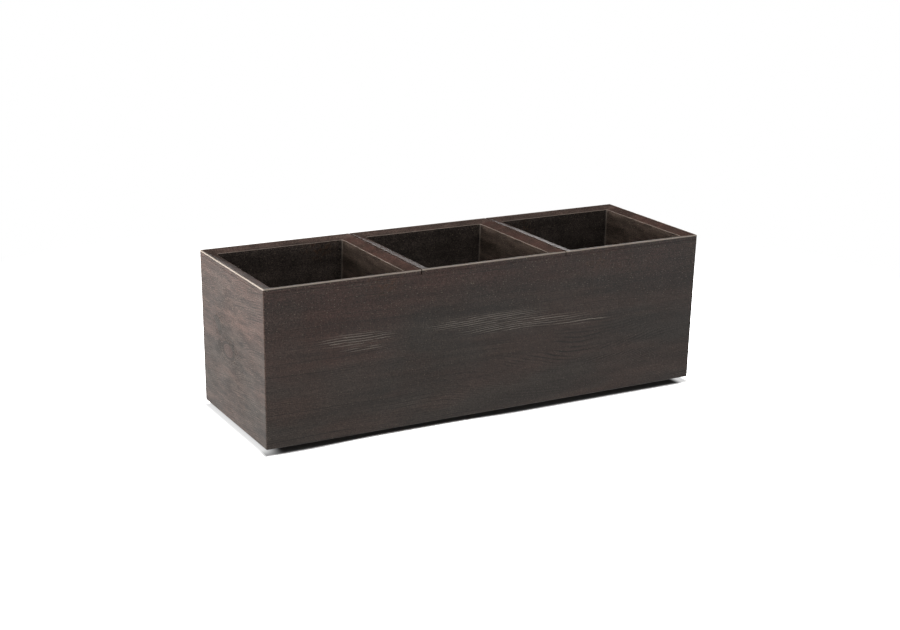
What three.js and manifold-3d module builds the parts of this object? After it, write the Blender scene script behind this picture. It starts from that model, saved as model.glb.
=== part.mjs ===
// A long planter with three square cells, moulded in a wood-fibre composite.
// One outer case stands on six push-in feet. Three planting inserts hang in it by their broad rims,
// which lie on the top edge of the case and on its two cross walls, and each one lifts straight out.
// Millimetres, +Z up. The origin is on the ground under the middle of the planter, with the front at -Y.

import * as THREE from 'three';
import { mergeVertices } from 'three/addons/utils/BufferGeometryUtils.js';
import ManifoldModule from 'manifold-3d';

// Overall size, measured at the top rim
const OVERALL_LENGTH = 800;
const OVERALL_DEPTH = 265;
const OVERALL_HEIGHT = 265;
const OUTER_DRAFT = 0.5; // degrees that each outer face leans in towards the ground

// Cells, from left to right
const CELL_NAMES = ['left', 'middle', 'right'];
const CELL_GAP = 1; // between two neighbouring rims
const CELL_CORNER_RADIUS = 1.5; // upright rim corners beside a gap

// Outer case
const CASE_WALL = 4;
const CASE_FLOOR = 4;
const CROSS_WALL = 6; // thickness at the top
const CASE_CORNER_RADIUS = 2; // upright outer corners
const CASE_WELL_RADIUS = 5; // upright inner corners
const CASE_WELL_FILLET = 3; // between the walls and the floor
const BASE_ARRIS = 1.5; // rounding of the lowest outer edge
const CASE_DRAIN_RADIUS = 7;

// Insert rim
const RIM_WIDTH = 20.5; // from the outer face to the mouth of the well
const RIM_DROP = 5; // fall of the top face over that width
const RIM_FACE = 7.5; // height of the outer face, which stands on the case
const RIM_SKIN = 3.5; // thickness under the sloping top
const OUTER_ARRIS = 1.2; // rounding of the top outer edge
const INNER_ARRIS = 0.8; // rounding of the edge at the mouth
const SEAM_ARRIS = 0.6; // rounding of both edges where rim and case meet
const LOCATING_RIB = 2.2; // rib under the rim that centres it in the case
const LOCATING_RIB_DEPTH = 8;
const LOCATING_CLEARANCE = 0.5; // between that rib and the case

// Insert well
const INSERT_WALL = 3;
const WELL_DRAFT = 2; // degrees
const WELL_RADIUS = 4; // upright inner corners
const WELL_FILLET = 8; // between the inner walls and the floor
const WATER_SPACE = 20; // between the pads of an insert and the floor of the case
const PAD_SIZE = 22;
const PAD_HEIGHT = 3;
const PAD_MARGIN = 6; // from the rounded bottom edge to a pad
const DRAIN_RADIUS = 5;
const DRAIN_SPACING = 55; // from the middle hole to the others, along X and Y

// Push-in feet
const FOOT_COLUMNS = ['left', 'middle', 'right'];
const FOOT_ROWS = ['front', 'back'];
const FOOT_HEIGHT = 9;
const FOOT_TOP_RADIUS = 17;
const FOOT_GROUND_RADIUS = 15;
const FOOT_CHAMFER = 1;
const FOOT_DISH_RADIUS = 6; // shallow dish in the underside
const FOOT_DISH_DEPTH = 2;
const FOOT_STEM_RADIUS = 4;
const FOOT_HEAD_RADIUS = 6;
const FOOT_HEAD_HEIGHT = 3;
const FOOT_CLEARANCE = 0.3; // around the stem and under its head
const FOOT_END_INSET = 60; // from the end face of the case to the foot's centre
const FOOT_SIDE_INSET = 50; // from the front or back face to the foot's centre

// Fineness of the curves
const CORNER_STEPS = 4;
const ARRIS_STEPS = 3;
const FOOT_SIDES = 24;
const HOLE_SIDES = 24;
const SMALLEST_RADIUS = 0.3;
const CUT_OVERSHOOT = 1; // how far a cutter reaches past the face it opens
const JOIN_OVERLAP = 1; // how far an added lump reaches into its wall
const MERGE_DISTANCE = 1e-5;

// Worked out from the sizes above
const RADIANS = Math.PI / 180;
const DOWN = -Math.PI / 2; // directions in a section, as angles
const OUT = 0;
const UP = Math.PI / 2;
const IN = Math.PI;
const OUTER_SLOPE = Math.tan(OUTER_DRAFT * RADIANS);
const WELL_DRAFT_ANGLE = WELL_DRAFT * RADIANS;
const RIM_ANGLE = Math.atan2(RIM_DROP, RIM_WIDTH);
const SEAM_Z = OVERALL_HEIGHT - RIM_FACE;
const CASE_FLOOR_Z = FOOT_HEIGHT + CASE_FLOOR;
const INSERT_PAD_Z = CASE_FLOOR_Z + WATER_SPACE;
const INSERT_BASE_Z = INSERT_PAD_Z + PAD_HEIGHT;
const INSERT_FLOOR_Z = INSERT_BASE_Z + INSERT_WALL;
const CELL_LENGTH = (OVERALL_LENGTH - CELL_GAP * (CELL_NAMES.length - 1)) / CELL_NAMES.length;
const CELL_PITCH = CELL_LENGTH + CELL_GAP;

const wasm = await ManifoldModule();
wasm.setup();

// Solids and geometries

function solidFrom(geometry) {
  geometry.deleteAttribute('normal');
  geometry.deleteAttribute('uv');
  const merged = mergeVertices(geometry, MERGE_DISTANCE);
  return new wasm.Manifold(new wasm.Mesh({
    numProp: 3,
    vertProperties: Float32Array.from(merged.getAttribute('position').array),
    triVerts: Uint32Array.from(merged.getIndex().array),
  }));
}

function geometryFrom(solid) {
  const mesh = solid.getMesh();
  const geometry = new THREE.BufferGeometry();
  geometry.setAttribute('position', new THREE.BufferAttribute(mesh.vertProperties, 3));
  geometry.setIndex(new THREE.BufferAttribute(mesh.triVerts, 1));
  geometry.computeVertexNormals();
  return geometry;
}

function uprightCylinder(radius, lowZ, highZ, x, y) {
  const cylinder = new THREE.CylinderGeometry(radius, radius, highZ - lowZ, HOLE_SIDES);
  cylinder.rotateX(Math.PI / 2);
  cylinder.translate(x, y, (lowZ + highZ) / 2);
  return solidFrom(cylinder);
}

function block(width, depth, lowZ, highZ, x, y) {
  const box = new THREE.BoxGeometry(width, depth, highZ - lowZ);
  box.translate(x, y, (lowZ + highZ) / 2);
  return solidFrom(box);
}

// Level rings. An outline is a rectangle seen from above, and a ring is that outline drawn in by an
// inset, with rounded corners, at one height.

function outlineAround(length, depth) {
  return { left: -length / 2, right: length / 2, front: -depth / 2, back: depth / 2 };
}

function ring(outline, inset, z, leftRadius, rightRadius = leftRadius) {
  const left = Math.max(leftRadius, SMALLEST_RADIUS);
  const right = Math.max(rightRadius, SMALLEST_RADIUS);
  const corners = [
    [outline.right - inset - right, outline.back - inset - right, right],
    [outline.left + inset + left, outline.back - inset - left, left],
    [outline.left + inset + left, outline.front + inset + left, left],
    [outline.right - inset - right, outline.front + inset + right, right],
  ];
  return corners.flatMap(([x, y, radius], quarter) => {
    const points = [];
    for (let step = 0; step <= CORNER_STEPS; step += 1) {
      const angle = (quarter + step / CORNER_STEPS) * Math.PI / 2;
      points.push(new THREE.Vector3(x + radius * Math.cos(angle), y + radius * Math.sin(angle), z));
    }
    return points;
  });
}

// One closed solid through the rings in turn, with a flat cap on the first and on the last.
function solidThrough(rings) {
  const count = rings[0].length;
  const points = rings.flat();
  const firstCentre = points.length;
  const lastCentre = firstCentre + 1;
  points.push(centreOf(rings[0]), centreOf(rings[rings.length - 1]));
  const faces = [];
  for (let i = 0; i < count; i += 1) {
    const next = (i + 1) % count;
    faces.push(firstCentre, next, i);
    for (let level = 0; level + 1 < rings.length; level += 1) {
      const low = level * count;
      const high = low + count;
      faces.push(low + i, low + next, high + next);
      faces.push(low + i, high + next, high + i);
    }
    const last = (rings.length - 1) * count;
    faces.push(lastCentre, last + i, last + next);
  }
  const geometry = new THREE.BufferGeometry().setFromPoints(points);
  geometry.setIndex(faces);
  return solidFrom(geometry);
}

function centreOf(points) {
  const centre = new THREE.Vector3();
  points.forEach((point) => centre.add(point));
  return centre.divideScalar(points.length);
}

// Points of an arc in a section, where inset grows inwards and z upwards
function arc(centre, radius, startAngle, endAngle) {
  const points = [];
  for (let step = 0; step <= ARRIS_STEPS; step += 1) {
    points.push(arcPoint(centre, radius, startAngle + (endAngle - startAngle) * step / ARRIS_STEPS));
  }
  return points;
}

function arcPoint(centre, radius, angle) {
  return {
    inset: centre.inset - radius * Math.cos(angle),
    z: centre.z + radius * Math.sin(angle),
  };
}

// How far the leaning outer faces have come in at a height
function leanAt(z) {
  return (OVERALL_HEIGHT - z) * OUTER_SLOPE;
}

// Cells

function makeCell(name, index) {
  const first = index === 0;
  const last = index === CELL_NAMES.length - 1;
  const rim = outlineAround(CELL_LENGTH, OVERALL_DEPTH);
  const landOnCrossWall = (CROSS_WALL - CELL_GAP) / 2;
  return {
    name,
    x: (index - (CELL_NAMES.length - 1) / 2) * CELL_PITCH,
    rim,
    leftCorner: first ? CASE_CORNER_RADIUS : CELL_CORNER_RADIUS,
    rightCorner: last ? CASE_CORNER_RADIUS : CELL_CORNER_RADIUS,
    mouth: {
      left: rim.left + (first ? CASE_WALL : landOnCrossWall),
      right: rim.right - (last ? CASE_WALL : landOnCrossWall),
      front: rim.front + CASE_WALL,
      back: rim.back - CASE_WALL,
    },
  };
}

// Outer case

function caseShell() {
  const outline = outlineAround(OVERALL_LENGTH, OVERALL_DEPTH);
  const baseInset = leanAt(FOOT_HEIGHT);
  const topInset = leanAt(SEAM_Z);
  const baseCentre = { inset: baseInset + BASE_ARRIS, z: FOOT_HEIGHT + BASE_ARRIS };
  const topCentre = { inset: topInset + SEAM_ARRIS, z: SEAM_Z - SEAM_ARRIS };
  const base = arc(baseCentre, BASE_ARRIS, DOWN, OUT);
  const top = arc(topCentre, SEAM_ARRIS, OUT, UP);
  const ringAt = (faceInset) => ({ inset, z }) => (
    ring(outline, inset, z, CASE_CORNER_RADIUS - (inset - faceInset))
  );
  return solidThrough([...base.map(ringAt(baseInset)), ...top.map(ringAt(topInset))]);
}

function caseWell(cell) {
  const centre = { inset: leanAt(CASE_FLOOR_Z) + CASE_WELL_FILLET, z: CASE_FLOOR_Z + CASE_WELL_FILLET };
  const topZ = SEAM_Z + CUT_OVERSHOOT;
  const levels = [...arc(centre, CASE_WELL_FILLET, DOWN, OUT), { inset: leanAt(topZ), z: topZ }];
  const rings = levels.map(({ inset, z }) => ring(cell.mouth, inset, z, CASE_WELL_RADIUS));
  return solidThrough(rings).translate(cell.x, 0, 0);
}

function caseFloorHole(radius, x, y) {
  return uprightCylinder(radius, FOOT_HEIGHT - CUT_OVERSHOOT, CASE_FLOOR_Z + CUT_OVERSHOOT, x, y);
}

function makeCase(cells, footPlaces) {
  let solid = caseShell();
  for (const cell of cells) {
    solid = solid.subtract(caseWell(cell));
    solid = solid.subtract(caseFloorHole(CASE_DRAIN_RADIUS, cell.x, 0));
  }
  for (const { x, y } of footPlaces) {
    solid = solid.subtract(caseFloorHole(FOOT_STEM_RADIUS + FOOT_CLEARANCE, x, y));
  }
  return geometryFrom(solid);
}

// Planting insert. Its section runs from the middle of the underside, up the outside of the well,
// round the locating rib and the rim, and down the inside of the well to the middle of its floor.

function insertSection() {
  const edgeCentre = { inset: OUTER_ARRIS, z: OVERALL_HEIGHT - OUTER_ARRIS };
  const topStart = arcPoint(edgeCentre, OUTER_ARRIS, UP + RIM_ANGLE);
  const topZ = (inset) => topStart.z - (inset - topStart.inset) * Math.tan(RIM_ANGLE);
  const underZ = (inset) => topZ(inset) - RIM_SKIN / Math.cos(RIM_ANGLE);

  const topEndInset = RIM_WIDTH - INNER_ARRIS + INNER_ARRIS * Math.sin(RIM_ANGLE);
  const mouthCentre = {
    inset: RIM_WIDTH - INNER_ARRIS,
    z: topZ(topEndInset) - INNER_ARRIS * Math.cos(RIM_ANGLE),
  };
  const mouth = arc(mouthCentre, INNER_ARRIS, UP + RIM_ANGLE, IN - WELL_DRAFT_ANGLE);
  const wallStart = mouth[mouth.length - 1];
  const wallInset = (z) => wallStart.inset + (wallStart.z - z) * Math.tan(WELL_DRAFT_ANGLE);

  const filletZ = INSERT_FLOOR_Z + WELL_FILLET;
  const filletStartZ = filletZ - WELL_FILLET * Math.sin(WELL_DRAFT_ANGLE);
  const filletCentre = {
    inset: wallInset(filletStartZ) + WELL_FILLET * Math.cos(WELL_DRAFT_ANGLE),
    z: filletZ,
  };
  const outsideInset = wallInset(underZ(RIM_WIDTH)) - INSERT_WALL / Math.cos(WELL_DRAFT_ANGLE);
  return {
    underside: arc(filletCentre, WELL_FILLET + INSERT_WALL, DOWN, OUT - WELL_DRAFT_ANGLE),
    outsideTop: { inset: outsideInset, z: underZ(outsideInset) },
    ribRootZ: underZ(CASE_WALL + LOCATING_CLEARANCE + LOCATING_RIB),
    outerEdge: [...arc(edgeCentre, OUTER_ARRIS, OUT, UP), topStart],
    mouth,
    floor: arc(filletCentre, WELL_FILLET, OUT - WELL_DRAFT_ANGLE, DOWN),
  };
}

function insertShell(cell, section) {
  const { rim, leftCorner, rightCorner } = cell;
  const seamCentre = { inset: leanAt(SEAM_Z) + SEAM_ARRIS, z: SEAM_Z + SEAM_ARRIS };
  const ribZ = SEAM_Z - LOCATING_RIB_DEPTH;
  const outsideRing = ({ inset, z }) => ring(rim, inset, z, WELL_RADIUS + INSERT_WALL);
  const wellRing = ({ inset, z }) => ring(rim, inset, z, WELL_RADIUS + Math.max(RIM_WIDTH - inset, 0));
  const ribRing = (depth, z) => ring(cell.mouth, leanAt(z) + depth, z, CASE_WELL_RADIUS - depth);
  const rimRing = ({ inset, z }) => {
    const drawnIn = Math.max(inset - leanAt(z), 0);
    return ring(rim, inset, z, leftCorner - drawnIn, rightCorner - drawnIn);
  };
  return solidThrough([
    ...section.underside.map(outsideRing),
    outsideRing(section.outsideTop),
    ribRing(LOCATING_CLEARANCE + LOCATING_RIB, section.ribRootZ),
    ribRing(LOCATING_CLEARANCE + LOCATING_RIB, ribZ),
    ribRing(LOCATING_CLEARANCE, ribZ),
    ribRing(LOCATING_CLEARANCE, SEAM_Z),
    ...arc(seamCentre, SEAM_ARRIS, DOWN, OUT).map(rimRing),
    ...section.outerEdge.map(rimRing),
    ...section.mouth.map(wellRing),
    ...section.floor.map(wellRing),
  ]);
}

function insertPads(section) {
  const flatInset = section.underside[0].inset;
  const centreInset = flatInset + PAD_MARGIN + PAD_SIZE / 2;
  const x = CELL_LENGTH / 2 - centreInset;
  const y = OVERALL_DEPTH / 2 - centreInset;
  const topZ = INSERT_BASE_Z + JOIN_OVERLAP;
  return [[-x, -y], [x, -y], [-x, y], [x, y]].map(([padX, padY]) => (
    block(PAD_SIZE, PAD_SIZE, INSERT_PAD_Z, topZ, padX, padY)
  ));
}

function insertDrains() {
  const lowZ = INSERT_BASE_Z - CUT_OVERSHOOT;
  const highZ = INSERT_FLOOR_Z + CUT_OVERSHOOT;
  const far = DRAIN_SPACING;
  return [[0, 0], [-far, -far], [far, -far], [-far, far], [far, far]].map(([x, y]) => (
    uprightCylinder(DRAIN_RADIUS, lowZ, highZ, x, y)
  ));
}

function makeInsert(cell) {
  const section = insertSection();
  let solid = insertShell(cell, section);
  for (const pad of insertPads(section)) {
    solid = solid.add(pad);
  }
  for (const drain of insertDrains()) {
    solid = solid.subtract(drain);
  }
  return geometryFrom(solid);
}

// Foot, turned about its own axis. It is pushed up through the floor, which its pad and head hold.

function makeFoot() {
  const headZ = CASE_FLOOR_Z + FOOT_CLEARANCE;
  const profile = [
    [0, FOOT_DISH_DEPTH],
    [FOOT_DISH_RADIUS, FOOT_DISH_DEPTH],
    [FOOT_DISH_RADIUS + FOOT_DISH_DEPTH, 0],
    [FOOT_GROUND_RADIUS - FOOT_CHAMFER, 0],
    [FOOT_GROUND_RADIUS, FOOT_CHAMFER],
    [FOOT_TOP_RADIUS, FOOT_HEIGHT - FOOT_CHAMFER],
    [FOOT_TOP_RADIUS, FOOT_HEIGHT],
    [FOOT_STEM_RADIUS, FOOT_HEIGHT],
    [FOOT_STEM_RADIUS, headZ],
    [FOOT_HEAD_RADIUS, headZ],
    [FOOT_STEM_RADIUS, headZ + FOOT_HEAD_HEIGHT],
    [0, headZ + FOOT_HEAD_HEIGHT],
  ];
  const points = profile.map(([radius, z]) => new THREE.Vector2(radius, z));
  const geometry = new THREE.LatheGeometry(points, FOOT_SIDES);
  geometry.rotateX(Math.PI / 2);
  return geometryFrom(solidFrom(geometry));
}

// The feet stand in even rows, at the front and at the back
function makeFootPlaces() {
  const endX = OVERALL_LENGTH / 2 - FOOT_END_INSET;
  const backY = OVERALL_DEPTH / 2 - FOOT_SIDE_INSET;
  const spread = (names, index, far) => far * (2 * index / (names.length - 1) - 1);
  return FOOT_ROWS.flatMap((row, rowIndex) => FOOT_COLUMNS.map((column, columnIndex) => ({
    name: `foot_${row}_${column}`,
    x: spread(FOOT_COLUMNS, columnIndex, endX),
    y: spread(FOOT_ROWS, rowIndex, backY),
  })));
}

// Materials, matt wood-fibre composite and plain black plastic

function compositeMaterial(color) {
  return new THREE.MeshStandardMaterial({ color, roughness: 0.55, metalness: 0, flatShading: true });
}

function footMaterial() {
  return new THREE.MeshStandardMaterial({ color: 0x17171a, roughness: 0.6, metalness: 0, flatShading: true });
}

function addMesh(parent, name, geometry, material, x = 0, y = 0) {
  const mesh = new THREE.Mesh(geometry, material);
  mesh.name = name;
  mesh.position.set(x, y, 0);
  parent.add(mesh);
}

const planter = new THREE.Group();
const cells = CELL_NAMES.map(makeCell);
const footPlaces = makeFootPlaces();

addMesh(planter, 'outer_case', makeCase(cells, footPlaces), compositeMaterial(0x3e3631));
for (const cell of cells) {
  addMesh(planter, `insert_${cell.name}`, makeInsert(cell), compositeMaterial(0x46392f), cell.x);
}
for (const place of footPlaces) {
  addMesh(planter, place.name, makeFoot(), footMaterial(), place.x, place.y);
}

export default planter;
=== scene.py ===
# %% [markdown]
# # A planter box with three lift-out inserts
# The object is a long planter, moulded in a dark brown wood-fibre composite. An outer
# case stands on six small feet, and three inserts with broad sloping rims hang in it.
# Its shapes come from the imported model, and this lesson gives them their finish: an
# embossed softwood grain, pale fibres all through, painted highlights and painted shade,
# and a plain studio.

# %% Load the frame
import math

import bpy
import bmesh
from mathutils import Matrix, Vector


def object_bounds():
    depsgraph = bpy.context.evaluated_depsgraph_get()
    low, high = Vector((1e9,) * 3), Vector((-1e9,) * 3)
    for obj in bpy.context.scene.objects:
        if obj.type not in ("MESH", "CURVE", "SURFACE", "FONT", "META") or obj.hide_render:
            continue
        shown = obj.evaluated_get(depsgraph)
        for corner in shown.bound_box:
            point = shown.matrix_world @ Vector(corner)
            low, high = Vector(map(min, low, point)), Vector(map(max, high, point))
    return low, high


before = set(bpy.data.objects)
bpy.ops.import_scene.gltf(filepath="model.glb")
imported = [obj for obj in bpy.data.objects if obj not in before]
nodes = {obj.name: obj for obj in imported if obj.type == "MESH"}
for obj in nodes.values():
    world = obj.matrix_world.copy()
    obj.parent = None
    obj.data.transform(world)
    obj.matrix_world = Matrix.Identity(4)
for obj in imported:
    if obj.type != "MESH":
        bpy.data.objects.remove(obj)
cad_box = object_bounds()
print("loaded", len(nodes), "nodes in the box", cad_box)

# %% [markdown]
# ## Camera
# The view was found by fitting a camera to the seven corners of the planter that show.
# It stands about 2.8 m off, left of the middle and a little above, and leans by one
# degree. A camera looks along its own minus Z, so its three axes are built one by one
# and set as the columns of its matrix.

# %% Camera
IMAGE_WIDTH = 900
VIEW_AZIMUTH = math.radians(29.109)
VIEW_PITCH = math.radians(16.605)
VIEW_ROLL = math.radians(0.926)
CAMERA_PLACE = Vector((-1.28136, -2.28646, 0.91977))
FOCAL_PIXELS = 1620.9

ahead = Vector((
    math.sin(VIEW_AZIMUTH) * math.cos(VIEW_PITCH),
    math.cos(VIEW_AZIMUTH) * math.cos(VIEW_PITCH),
    -math.sin(VIEW_PITCH),
))
level_right = Vector((math.cos(VIEW_AZIMUTH), -math.sin(VIEW_AZIMUTH), 0))
level_up = level_right.cross(ahead)
right = level_right * math.cos(VIEW_ROLL) + level_up * math.sin(VIEW_ROLL)
up = right.cross(ahead)

lens = bpy.data.cameras.new("Camera")
lens.sensor_width = 36
lens.lens = FOCAL_PIXELS * lens.sensor_width / IMAGE_WIDTH
camera = bpy.data.objects.new("Camera", lens)
camera.matrix_world = Matrix((
    (right.x, up.x, -ahead.x, CAMERA_PLACE.x),
    (right.y, up.y, -ahead.y, CAMERA_PLACE.y),
    (right.z, up.z, -ahead.z, CAMERA_PLACE.z),
    (0, 0, 0, 1),
))
bpy.context.collection.objects.link(camera)
bpy.context.scene.camera = camera
bpy.context.scene.view_settings.view_transform = "Standard"
print("camera lens", round(lens.lens, 2), "mm")

# %% [markdown]
# ## Helpers for numbers
# A material is a tree of nodes. These few helpers add a node, and either link a socket
# into it or write a number into it. That keeps each formula on one line, as on paper.

# %% Helpers for numbers
def put(tree, target, value):
    """Links a socket, or writes a plain value."""
    if isinstance(value, bpy.types.NodeSocket):
        tree.links.new(value, target)
    else:
        target.default_value = value


def calc(tree, operation, *values):
    """One Math node."""
    node = tree.nodes.new("ShaderNodeMath")
    node.operation = operation
    for socket, value in zip(node.inputs, values):
        put(tree, socket, value)
    return node.outputs[0]


def times(tree, first, *others):
    """The product of two or more values."""
    for other in others:
        first = calc(tree, "MULTIPLY", first, other)
    return first


def opposite(tree, mask):
    """One where the mask is nought, and nought where it is one."""
    return calc(tree, "SUBTRACT", 1.0, mask)


def apart(tree, value, centre):
    """How far a value is from a centre."""
    return calc(tree, "ABSOLUTE", calc(tree, "SUBTRACT", value, centre))


def blend_numbers(tree, factor, first, second):
    """From first to second as factor goes from 0 to 1."""
    node = tree.nodes.new("ShaderNodeMix")
    node.data_type = "FLOAT"
    put(tree, node.inputs[0], factor)
    put(tree, node.inputs[2], first)
    put(tree, node.inputs[3], second)
    return node.outputs[0]


def step(tree, value, low, high, start=0.0, end=1.0):
    """A soft step: start at low, end at high, and level beyond both."""
    node = tree.nodes.new("ShaderNodeMapRange")
    node.interpolation_type = "SMOOTHSTEP"
    put(tree, node.inputs["Value"], value)
    put(tree, node.inputs["From Min"], low)
    put(tree, node.inputs["From Max"], high)
    put(tree, node.inputs["To Min"], start)
    put(tree, node.inputs["To Max"], end)
    return node.outputs["Result"]


def fall(tree, value, low, high, start=1.0):
    """A soft step down: start at low, and nought at high."""
    return step(tree, value, low, high, start, 0.0)


print("number helpers ready")

# %% [markdown]
# ## Helpers for places, noise and colours
# Noise keeps near its middle value, so a second helper spreads it out again. Colours are
# written as they are seen on a screen, because that is how one picks them, and are then
# turned into the amounts of light that a renderer counts with.

# %% Helpers for places, noise and colours
NOISE_SPAN = (0.3, 0.7)


def vector_calc(tree, operation, *values):
    """One Vector Math node."""
    node = tree.nodes.new("ShaderNodeVectorMath")
    node.operation = operation
    for socket, value in zip(node.inputs, values):
        put(tree, socket, value)
    return node.outputs["Value" if operation == "LENGTH" else "Vector"]


def combine(tree, x, y, z):
    """Three numbers as one vector."""
    node = tree.nodes.new("ShaderNodeCombineXYZ")
    for socket, value in zip(node.inputs, (x, y, z)):
        put(tree, socket, value)
    return node.outputs[0]


def split(tree, vector):
    """One vector as three numbers."""
    node = tree.nodes.new("ShaderNodeSeparateXYZ")
    put(tree, node.inputs[0], vector)
    return node.outputs


def clouds(tree, vector, scale, detail=2.0, roughness=0.5):
    """Soft noise from 0 to 1."""
    node = tree.nodes.new("ShaderNodeTexNoise")
    put(tree, node.inputs["Vector"], vector)
    put(tree, node.inputs["Scale"], scale)
    put(tree, node.inputs["Detail"], detail)
    put(tree, node.inputs["Roughness"], roughness)
    return node.outputs["Fac"]


def long_clouds(tree, plane, size, detail, roughness=0.5):
    """Noise with clouds of one size: millimetres along the grain, and across it."""
    along, across, plate = split(tree, plane)
    along = calc(tree, "DIVIDE", along, size[0])
    across = calc(tree, "DIVIDE", across, size[1])
    return clouds(tree, combine(tree, along, across, plate), 1.0, detail, roughness)


def spread_out(tree, noise, low, high):
    """Noise as a value that reaches from low to high."""
    return step(tree, noise, *NOISE_SPAN, low, high)


def blend_colours(tree, factor, first, second, way="MIX"):
    """Lays the second colour over the first."""
    node = tree.nodes.new("ShaderNodeMix")
    node.data_type = "RGBA"
    node.blend_type = way
    put(tree, node.inputs[0], factor)
    put(tree, node.inputs[6], first)
    put(tree, node.inputs[7], second)
    return node.outputs[2]


def darken(tree, colour, share):
    """The colour times one share of light."""
    return blend_colours(tree, 1.0, colour, combine(tree, share, share, share), "MULTIPLY")


def paint(red, green, blue):
    """A colour as it is seen on a screen, 0 to 255, turned into the light it stands for."""
    def light(value):
        part = value / 255
        return part / 12.92 if part <= 0.04045 else ((part + 0.055) / 1.055) ** 2.4
    return (light(red), light(green), light(blue), 1.0)


print("place, noise and colour helpers ready")

# %% [markdown]
# ## Helpers for groups and materials
# An effect that several materials or groups need is built once, as a shader group with
# named sockets, and is then placed like any other node. HERE names the two inputs that
# most groups start from: the place on the surface, and where the surface faces.

# %% Helpers for groups and materials
NUMBER, VECTOR, COLOUR = "NodeSocketFloat", "NodeSocketVector", "NodeSocketColor"
WHITE = (1, 1, 1, 1)
HERE = [("Position", VECTOR, (0, 0, 0)), ("Normal", VECTOR, (0, 0, 1))]


def new_group(name, inputs, outputs):
    """An empty shader group with named sockets."""
    tree = bpy.data.node_groups.new(name, "ShaderNodeTree")
    for label, kind, value in inputs:
        socket = tree.interface.new_socket(name=label, in_out="INPUT", socket_type=kind)
        socket.default_value = value
    for label, kind in outputs:
        tree.interface.new_socket(name=label, in_out="OUTPUT", socket_type=kind)
    got = tree.nodes.new("NodeGroupInput").outputs
    give = tree.nodes.new("NodeGroupOutput").inputs
    return tree, got, give


def place_group(tree, group, **values):
    """Puts a group into a tree. Values are named after its inputs, with _ for a space."""
    node = tree.nodes.new("ShaderNodeGroup")
    node.node_tree = group
    for label, value in values.items():
        put(tree, node.inputs[label.replace("_", " ")], value)
    return node.outputs


def hand_on(tree, give, **found):
    """Links what a group found to its outputs, named in the same way."""
    for label, value in found.items():
        put(tree, give[label.replace("_", " ")], value)
    print("group", tree.name)


def new_material(name):
    """A material with its tree, its shader, and the place and normal on the surface."""
    material = bpy.data.materials.new(name)
    material.use_nodes = True
    tree = material.node_tree
    place = tree.nodes.new("ShaderNodeTexCoord").outputs
    here = {"Position": place["Object"], "Normal": place["Normal"]}
    return material, tree, tree.nodes["Principled BSDF"], here


def emboss(tree, shader, height, distance):
    """Lets light fall on the surface as if it had this height, times distance in metres."""
    bump = tree.nodes.new("ShaderNodeBump")
    put(tree, bump.inputs["Height"], height)
    bump.inputs["Distance"].default_value = distance
    put(tree, shader.inputs["Normal"], bump.outputs["Normal"])


print("group helpers ready")

# %% [markdown]
# ## Group: the plane of a face
# A mould maker lays a flat grain plate against each wall of the mould. So the grain has
# to lie flat on each wall too, and not cut through the corner as a block of wood would.
# This group looks at where the surface faces and hands on millimetres along the grain,
# millimetres across it, and a third number that differs from wall to wall.

# %% Group: the plane of a face
TO_MILLIMETRES = (1000, 1000, 1000)
END_PLATE, SIDE_PLATE, LEVEL_PLATE = 3.1, 1.3, 7.7

face_plane, got, give = new_group(
    "Face Plane", HERE, [("Plane", VECTOR), ("End", NUMBER), ("Level", NUMBER)]
)
tree = face_plane
x, y, z = split(tree, vector_calc(tree, "MULTIPLY", got["Position"], TO_MILLIMETRES))
nx, ny, nz = split(tree, got["Normal"])
size_x, size_y, size_z = (calc(tree, "ABSOLUTE", part) for part in (nx, ny, nz))
is_end = calc(tree, "GREATER_THAN", size_x, calc(tree, "MAXIMUM", size_y, size_z))
is_level = calc(tree, "GREATER_THAN", size_z, calc(tree, "MAXIMUM", size_x, size_y))
side = calc(tree, "SIGN", calc(tree, "ADD", nx, ny))
plate = calc(tree, "MULTIPLY_ADD", is_end, END_PLATE, times(tree, side, SIDE_PLATE))
plate = calc(tree, "MULTIPLY_ADD", is_level, LEVEL_PLATE, plate)
along = blend_numbers(tree, is_end, x, y)
across = blend_numbers(tree, is_level, z, y)
hand_on(tree, give, Plane=combine(tree, along, across, plate), End=is_end, Level=is_level)

# %% [markdown]
# ## Group: a soft spot
# Knots, rubbed patches and warm stains all sit at one place on a wall. A soft ellipse,
# 1 in the middle and 0 at its rim, is all that they need, and the plain distance is
# handed on as well, for the rings of a knot. Centres and reaches are in millimetres.

# %% Group: a soft spot
soft_spot, got, give = new_group(
    "Soft Spot",
    [("Plane", VECTOR, (0, 0, 0)), ("Centre", VECTOR, (0, 0, 0)), ("Reach", VECTOR, (1, 1, 1))],
    [("Mask", NUMBER), ("Distance", NUMBER)],
)
tree = soft_spot
away = vector_calc(tree, "SUBTRACT", got["Plane"], got["Centre"])
along, across = split(tree, vector_calc(tree, "DIVIDE", away, got["Reach"]))[:2]
distance = vector_calc(tree, "LENGTH", combine(tree, along, across, 0.0))
hand_on(tree, give, Mask=fall(tree, distance, 0.0, 1.0), Distance=distance)


def spot_at(tree, plane, centre, reach):
    """A soft spot round centre, in millimetres along and across the grain."""
    return place_group(tree, soft_spot, Plane=plane, Centre=(*centre, 0), Reach=(*reach, 1))


# %% [markdown]
# ## Group: the zones of the planter
# The same composite looks different on an outer wall, on a rim and down in a well. The
# model's box tells them apart: what is within a few millimetres of its sides is outside,
# what is above the mouth of the wells is rim, and the rest is well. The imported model's
# own size is used, so the zones move with it.

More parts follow.
